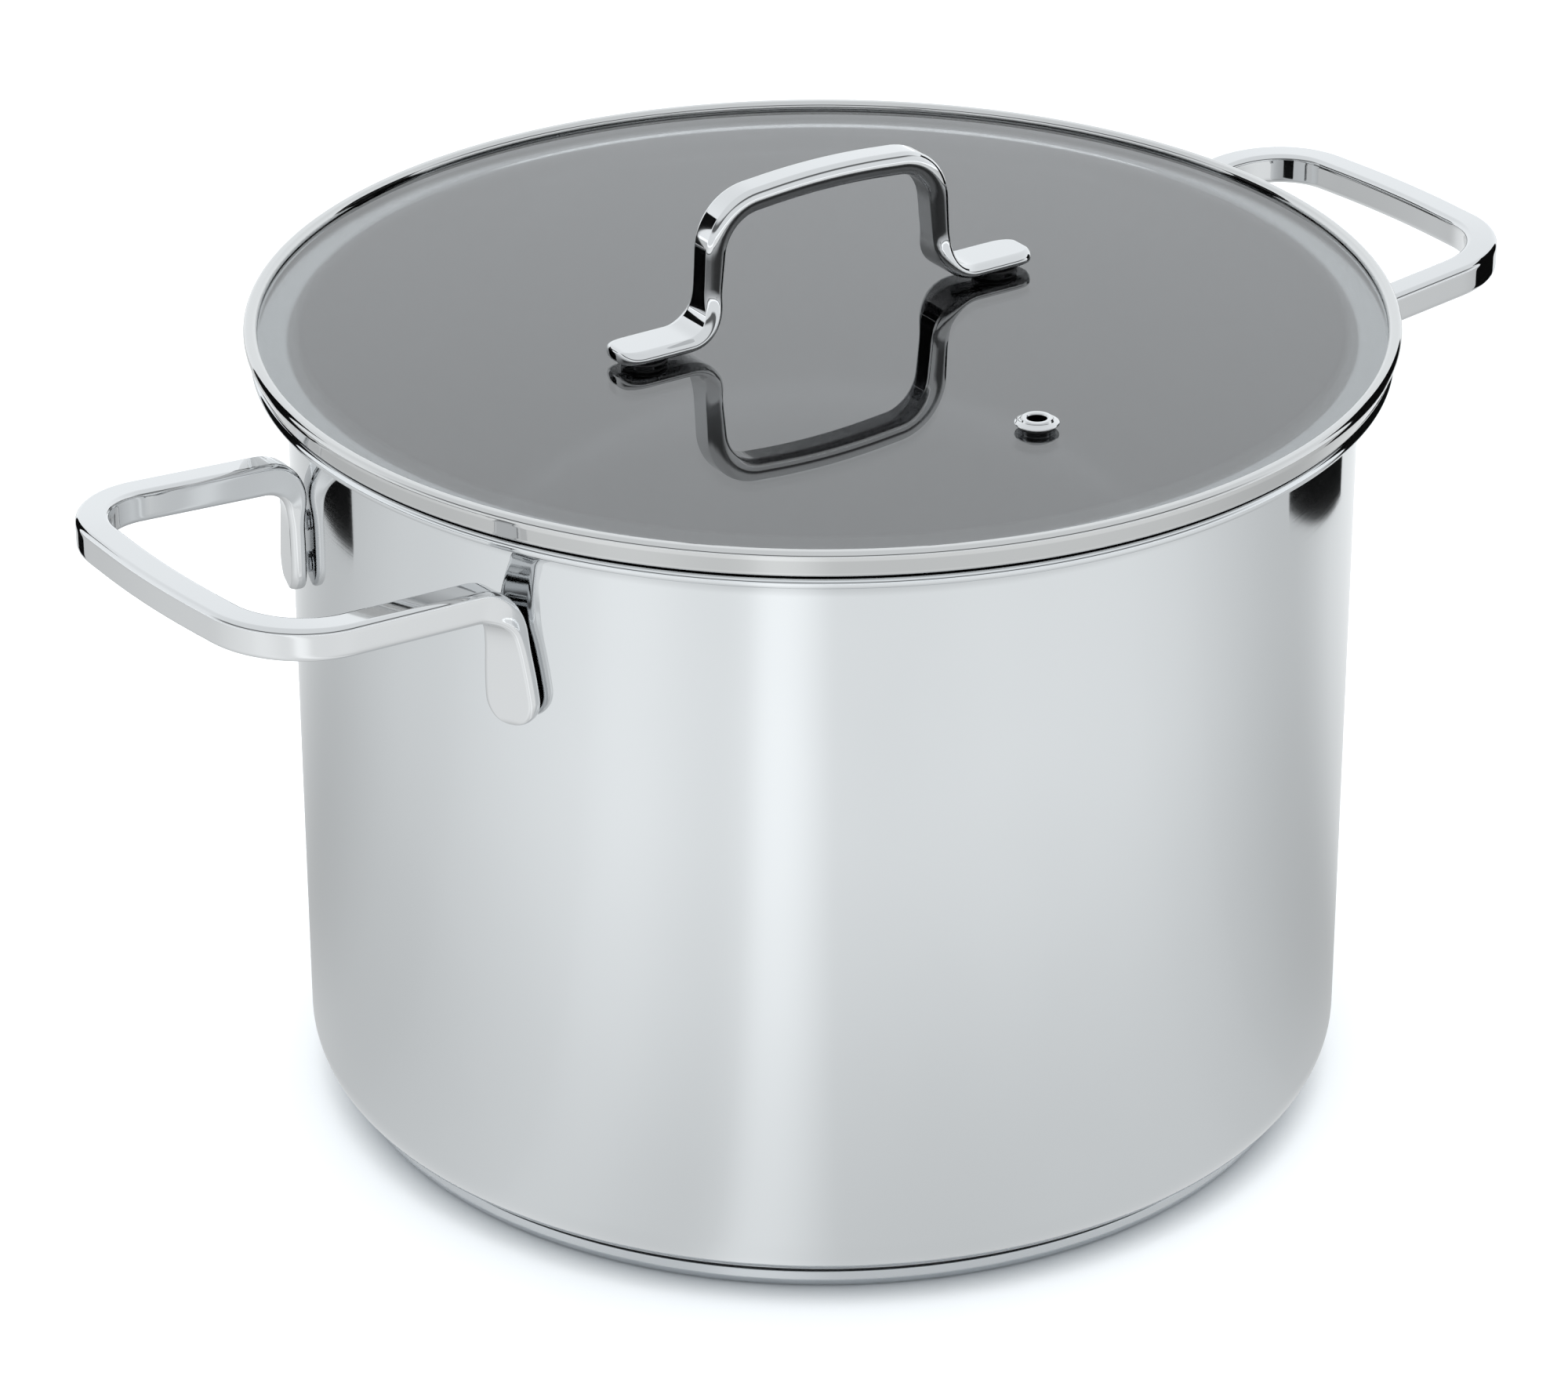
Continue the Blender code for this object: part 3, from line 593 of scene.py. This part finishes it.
def build_ring():
    """Rolled steel ring clasping the glass edge, with a skirt that hangs inside the pot."""
    reach, top = RING_HIGH.x, RING_HIGH.z
    sheet = 0.6 * MM
    inner_r = reach - 3.3 * MM
    crown = 1.3 * MM
    side_z = top - 1.9 * MM
    foot_z = top - 5.5 * MM
    lip_bottom = GLASS_LOW.z - TOUCH - sheet
    fold = foot_z - lip_bottom
    fold_r = reach - 1.4 * MM - fold
    skirt_r = reach - 10.6 * MM
    over_glass = GLASS_HIGH.z + TOUCH
    profile = [(inner_r, over_glass)]
    profile += arc(inner_r + crown, top - crown, crown, 180, 90, 8)
    profile += arc(reach - crown, top - crown, crown, 90, 0, 8)
    profile += [(reach, side_z + 0.1 * MM), (reach - 0.05 * MM, side_z - 0.2 * MM)]
    profile += arc(fold_r, foot_z, fold, 0, -90, 8)
    profile += arc(skirt_r + MM, lip_bottom - MM, MM, 90, 180, 6)
    profile += arc(skirt_r - sheet / 2, RING_LOW.z + sheet / 2, sheet / 2, 0, -180, 6)
    profile += arc(skirt_r + MM, lip_bottom - MM, MM + sheet, 180, 90, 6)
    profile += arc(fold_r, foot_z, fold - sheet, -90, 0, 8)
    profile += [(reach - sheet, side_z)]
    profile += arc(reach - crown, top - crown, crown - sheet, 0, 90, 6)
    profile += arc(inner_r + crown, top - crown, crown - sheet, 90, 180, 6)
    profile += [(inner_r + sheet, over_glass)]
    verts, faces = turned(profile[::-1], ROUND_STEPS, closed=True)
    add_piece("rim_ring", verts, faces, RING_STEEL, "lid", "lid_ring")


def build_lid_handle():
    """Bent flat bar: tongue foot, leg, crowned top, leg, tongue foot."""
    tip_x = FOOT_X + FOOT_TIP
    half = [Vector((tip_x, 0, FOOT_Z)), Vector((LEG_FOOT_X, 0, FOOT_Z)),
            Vector((LEG_TOP_X, 0, SHOULDER_Z))]
    mirrored = [Vector((-p.x, 0, p.z)) for p in half]
    corners = mirrored + [Vector((0, 0, CROWN_Z))] + half[::-1]
    radii = [FOOT_BEND_R, SHOULDER_R, CROWN_R, SHOULDER_R, FOOT_BEND_R]
    path = rounded_path(corners, radii, STATION)
    points = with_tips(path, FOOT_W / 2)
    leg_low = FOOT_Z + FOOT_BEND_R
    widths, heights = [], []
    for point in points:
        from_tip = max(tip_x - abs(point.x), 0.0)
        width = blend(point.z, FOOT_Z, leg_low + 3 * MM, FOOT_W, ARCH_W)
        widths.append(width * tip_width(from_tip, FOOT_W / 2, 3.0))
        if point.z < leg_low:
            thick = blend(point.z, FOOT_Z, leg_low, FOOT_T, LEG_T)
        else:
            thick = blend(point.z, leg_low, SHOULDER_Z, LEG_T, CROWN_T)
        heights.append(tip_height(from_tip, thick, 1.1 * MM))
    sides = [Vector((0, 1, 0))] * len(points)
    verts, faces = bar(points, sides, widths, heights, ARCH_EDGE, ARCH_BULGE)
    add_piece("lid_grip", verts, faces, POLISHED, "lid", "lid_handle", turn=LID_TURN)


def washer(name, node, inner, edge, look, inset=0.0):
    """A washer with rounded outer edges that fills its node's box, less an inset."""
    low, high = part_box(node)
    outer = (high.x - low.x) / 2 - inset
    thick = high.z - low.z
    profile = [(inner, 0)] + arc(outer - edge, edge, edge, -90, 0, 5)
    profile += arc(outer - edge, thick - edge, edge, 0, 90, 5) + [(inner, thick)]
    verts, faces = turned(profile, SMALL_STEPS, closed=True)
    middle = (low + high) / 2
    add_piece(name, verts, faces, look, "lid", node, (middle.x, middle.y, low.z))


def build_fasteners():
    """The pads and washers of both lid-handle feet and of the vent."""
    hole = 2.0 * MM
    for side in ("left", "right"):
        washer("foot_pad_" + side, "handle_pad_" + side, hole, 0.4 * MM, SILICONE)
        washer("lower_pad_" + side, "under_pad_" + side, hole, 0.3 * MM, SILICONE)
        washer("steel_washer_" + side, "screw_washer_" + side, hole, 0.2 * MM, FASTENER)
    bore = 3.2 * MM
    washer("vent_seal", "vent_gasket", bore, 0.25 * MM, SILICONE, inset=1.1 * MM)
    washer("vent_washer", "vent_backing", bore, 0.2 * MM, FASTENER)


def build_vent():
    """Stepped steam-vent eyelet with a raised inner collar and a curled lower end."""
    low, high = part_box("vent_eyelet")
    flange = (high.x - low.x) / 2
    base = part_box("vent_gasket")[1].z + TOUCH
    curl_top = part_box("vent_backing")[0].z - TOUCH
    bore, tube = 2.3 * MM, 2.9 * MM
    curl_r = 4.4 * MM
    profile = [(bore, low.z)] + arc(curl_r - 0.4 * MM, low.z + 0.4 * MM, 0.4 * MM, -90, 90, 6)
    profile += [(tube, curl_top), (tube, base), (flange - 0.3 * MM, base)]
    profile += arc(flange - 0.3 * MM, base + 0.3 * MM, 0.3 * MM, -90, 60, 5)
    profile += [(4.5 * MM, base + 0.75 * MM), (4.1 * MM, base + 0.85 * MM)]
    profile += arc(3.35 * MM, high.z - 0.45 * MM, 0.45 * MM, 0, 90, 5)
    profile += [(3.0 * MM, high.z)]
    profile += arc(bore + 0.55 * MM, high.z - 0.55 * MM, 0.55 * MM, 90, 180, 6)
    verts, faces = turned(profile, SMALL_STEPS, closed=True)
    add_piece("vent_ring", verts, faces, POLISHED, "lid", "vent_eyelet",
              (VENT.x, VENT.y, 0))


def dress_kept_nodes():
    """CAD nodes whose shape is right keep it and get their materials."""
    for name, node in NODES.items():
        if name.startswith("weld_"):
            node.data.materials.clear()
            node.data.materials.append(BASE_STEEL)
        if name == "base_core_disc":
            node.data.materials.clear()
            node.data.materials.append(ALUMINIUM)
        if name.startswith("handle_screw_"):
            node.data.materials.clear()
            node.data.materials.append(FASTENER)


# ---- studio -----------------------------------------------------------------
HANDLE_AZIMUTH = math.radians(37.3)    # the handles' axis against the picture plane
CAMERA_TILT = math.radians(26.75)      # downward tilt of the view
CAMERA_ROLL = math.radians(-0.136)
CAMERA_BACK = 1.3289                   # metres from the pot's axis, towards the viewer
CAMERA_SIDE = -0.0095
CAMERA_HEIGHT = 0.7670
FOCAL_LENGTH = 136.8
ROOM_TURN = Matrix.Rotation(-HANDLE_AZIMUTH, 4, "Z")
REAR_GLOW = 1.17                       # of the room behind the pot
TOP_GLOW = 0.95
FRONT_GLOW = 0.15                      # of the room on the viewer's side
LOW_GLOW = 1.0                         # of that side's strip just above the table
ROOM_COLOUR = (0.965, 1.0, 1.025)
TOP_LIGHT = 2.6
FLOOR_HALF = 8.0
FLAG_HEIGHT = 0.42
FLAG_LEFT = ((-0.366, 0.240), (-0.416, 0.110))
FLAG_RIGHT = ((0.317, 0.272), (0.450, 0.108))
SHEET_INNER, SHEET_OUTER = 0.1245, 3.0
SHEET_HEIGHT = 0.0006
SHEET_STEPS = 48
# the sheet glows dimmer near the base: painted shade of the table beside the pot
SHEET_NEAR, SHEET_NEAR_GLOW = 0.11, 0.79
SHEET_FAR, SHEET_FAR_GLOW = 0.42, 1.03
SHEET_PEAK = 1.4                       # colour stops are stored as shares of this
SHEET_COLOUR = (0.975, 1.0, 1.012)
# glow of the sheet by direction; its dips are painted shade of the table near the black cards
SHEET_GLOW = ((-180, 1.0), (-150, 0.92), (-118, 0.67), (-92, 0.80), (-71, 0.90), (-44, 1.05),
              (-34, 1.10), (-20, 1.02), (-14, 1.08), (-10, 1.25), (-4, 1.20), (2, 1.0),
              (35, 1.0), (60, 0.97), (76, 0.86), (104, 0.69), (122, 0.86), (150, 0.95))


def add_camera():
    """A long lens that looks down at the pot from the viewer's side."""
    data = bpy.data.cameras.new("camera")
    data.lens = FOCAL_LENGTH
    data.sensor_width = 36.0
    data.clip_start = 0.01
    data.clip_end = 50.0
    camera = bpy.data.objects.new("camera", data)
    bpy.context.scene.collection.objects.link(camera)
    tilt = Matrix.Rotation(math.pi / 2 - CAMERA_TILT, 4, "X")
    place = Matrix.Translation((CAMERA_SIDE, -CAMERA_BACK, CAMERA_HEIGHT))
    camera.matrix_world = ROOM_TURN @ place @ tilt @ Matrix.Rotation(CAMERA_ROLL, 4, "Z")
    bpy.context.scene.camera = camera


def add_card(name, verts, faces, material):
    """A studio card that only shows in reflections."""
    mesh = bpy.data.meshes.new(name)
    mesh.from_pydata(verts, [], faces)
    mesh.materials.append(material)
    card = bpy.data.objects.new(name, mesh)
    bpy.context.scene.collection.objects.link(card)
    card.matrix_world = ROOM_TURN
    card.visible_camera = False
    card.visible_diffuse = False
    card.visible_shadow = False


def add_flag(name, start, end):
    """A black card standing on the line from start to end."""
    look = Look(name)
    look.set(Base_Color=(0.004, 0.004, 0.004, 1), Roughness=1.0)
    look.shader.inputs["Specular IOR Level"].default_value = 0.0
    foot = 2.0 * MM
    verts = [(*start, foot), (*end, foot), (*end, FLAG_HEIGHT), (*start, FLAG_HEIGHT)]
    add_card(name, verts, [(0, 1, 2, 3)], look.material)


def add_bounce_sheet():
    """A glowing sheet on the table round the pot that its wall mirrors.

    Its brightness follows the direction from the pot, 0 degrees being towards
    the viewer, and falls off close to the base; these dips are painted shade of the
    table by the base and near the black cards.
    """
    verts, faces = [], []
    for radius in (SHEET_INNER, SHEET_OUTER):
        for k in range(SHEET_STEPS):
            angle = 2 * math.pi * k / SHEET_STEPS
            verts.append((radius * math.cos(angle), radius * math.sin(angle), SHEET_HEIGHT))
    for k in range(SHEET_STEPS):
        n = (k + 1) % SHEET_STEPS
        faces.append((k, SHEET_STEPS + k, SHEET_STEPS + n, n))
    look = Look("bounce_sheet")
    place = look.node("ShaderNodeTexCoord")
    turn = look.node("ShaderNodeMapping", Rotation=(0, 0, math.pi / 2))
    around = look.node("ShaderNodeTexGradient", gradient_type="RADIAL")
    look.link(place, "Object", turn, "Vector")
    look.link(turn, "Vector", around, "Vector")
    ramp = look.node("ShaderNodeValToRGB")
    ramp.color_ramp.interpolation = "CARDINAL"
    stops = ramp.color_ramp.elements
    while len(stops) < len(SHEET_GLOW):
        stops.new(0.5)
    for stop, (degrees, level) in zip(stops, SHEET_GLOW):
        stop.position = degrees / 360 + 0.5
        share = level / SHEET_PEAK
        stop.color = (share, share, share, 1)
    look.link(around, "Fac", ramp, "Fac")
    reach = look.node("ShaderNodeVectorMath", operation="LENGTH")
    look.link(place, "Object", reach, "Vector")
    fall = look.node("ShaderNodeMapRange", interpolation_type="SMOOTHSTEP")
    fall.inputs["From Min"].default_value = SHEET_NEAR
    fall.inputs["From Max"].default_value = SHEET_FAR
    fall.inputs["To Min"].default_value = SHEET_NEAR_GLOW * SHEET_PEAK
    fall.inputs["To Max"].default_value = SHEET_FAR_GLOW * SHEET_PEAK
    look.link(reach, "Value", fall, "Value")
    glow = look.node("ShaderNodeEmission")
    cool = look.node("ShaderNodeMix", data_type="RGBA", blend_type="MULTIPLY")
    cool.inputs[0].default_value = 1.0
    cool.inputs[7].default_value = (*SHEET_COLOUR, 1)
    look.links.new(ramp.outputs["Color"], cool.inputs[6])
    look.links.new(cool.outputs[2], glow.inputs["Color"])
    look.link(fall, "Result", glow, "Strength")
    look.links.new(glow.outputs["Emission"], look.nodes["Material Output"].inputs["Surface"])
    add_card("bounce_sheet", verts, faces, look.material)


def add_floor():
    """A plain pale floor."""
    half = FLOOR_HALF
    mesh = bpy.data.meshes.new("floor")
    mesh.from_pydata([(-half, -half, 0), (half, -half, 0), (half, half, 0), (-half, half, 0)],
                     [], [(0, 1, 2, 3)])
    look = Look("pale_floor")
    look.set(Base_Color=(0.91, 0.93, 0.945, 1), Roughness=0.6)
    look.shader.inputs["Specular IOR Level"].default_value = 0.1
    mesh.materials.append(look.material)
    floor = bpy.data.objects.new("floor", mesh)
    bpy.context.scene.collection.objects.link(floor)


def add_world():
    """A room bright behind the pot and dim in front, but for a strip just above the table."""
    world = bpy.data.worlds.new("studio")
    world.use_nodes = True
    nodes, links = world.node_tree.nodes, world.node_tree.links
    place = nodes.new("ShaderNodeTexCoord")
    turn = nodes.new("ShaderNodeMapping")
    turn.vector_type = "VECTOR"
    turn.inputs["Rotation"].default_value = (0, 0, HANDLE_AZIMUTH)
    axes = nodes.new("ShaderNodeSeparateXYZ")
    links.new(place.outputs["Generated"], turn.inputs["Vector"])
    links.new(turn.outputs["Vector"], axes.inputs["Vector"])
    parts = {}
    for part, axis, span, glow in (("rear", "Z", (0.3, 0.95), (REAR_GLOW, TOP_GLOW)),
                                   ("front", "Z", (0.47, 0.66), (FRONT_GLOW, TOP_GLOW)),
                                   ("low", "Z", (0.26, 0.38), (LOW_GLOW, 0.0)),
                                   ("side", "Y", (-0.25, 0.25), (0.0, 1.0))):
        made = nodes.new("ShaderNodeMapRange")
        made.interpolation_type = "SMOOTHSTEP"
        made.inputs["From Min"].default_value, made.inputs["From Max"].default_value = span
        made.inputs["To Min"].default_value, made.inputs["To Max"].default_value = glow
        links.new(axes.outputs[axis], made.inputs["Value"])
        parts[part] = made.outputs["Result"]
    either = nodes.new("ShaderNodeMath")
    either.operation = "MAXIMUM"
    links.new(parts["front"], either.inputs[0])
    links.new(parts["low"], either.inputs[1])
    mix = nodes.new("ShaderNodeMix")
    links.new(parts["side"], mix.inputs[0])
    links.new(either.outputs["Value"], mix.inputs[2])
    links.new(parts["rear"], mix.inputs[3])
    nodes["Background"].inputs["Color"].default_value = (*ROOM_COLOUR, 1)
    links.new(mix.outputs[0], nodes["Background"].inputs["Strength"])
    bpy.context.scene.world = world
    bpy.context.scene.view_settings.view_transform = "Standard"


def add_top_light():
    """A broad light straight above that brightens the floor but shows in no reflection."""
    data = bpy.data.lights.new("top_light", "SUN")
    data.energy = TOP_LIGHT
    data.angle = math.radians(70)
    light = bpy.data.objects.new("top_light", data)
    bpy.context.scene.collection.objects.link(light)
    light.visible_glossy = False


def build_studio():
    """Pale floor, soft room, a glowing table sheet and two black cards behind the pot."""
    add_world()
    add_floor()
    add_camera()
    add_top_light()
    add_bounce_sheet()
    add_flag("flag_left", *FLAG_LEFT)
    add_flag("flag_right", *FLAG_RIGHT)


build_pot_body()
build_base_cap()
build_side_handles()
build_glass()
build_ring()
build_lid_handle()
build_fasteners()
build_vent()
dress_kept_nodes()
build_studio()
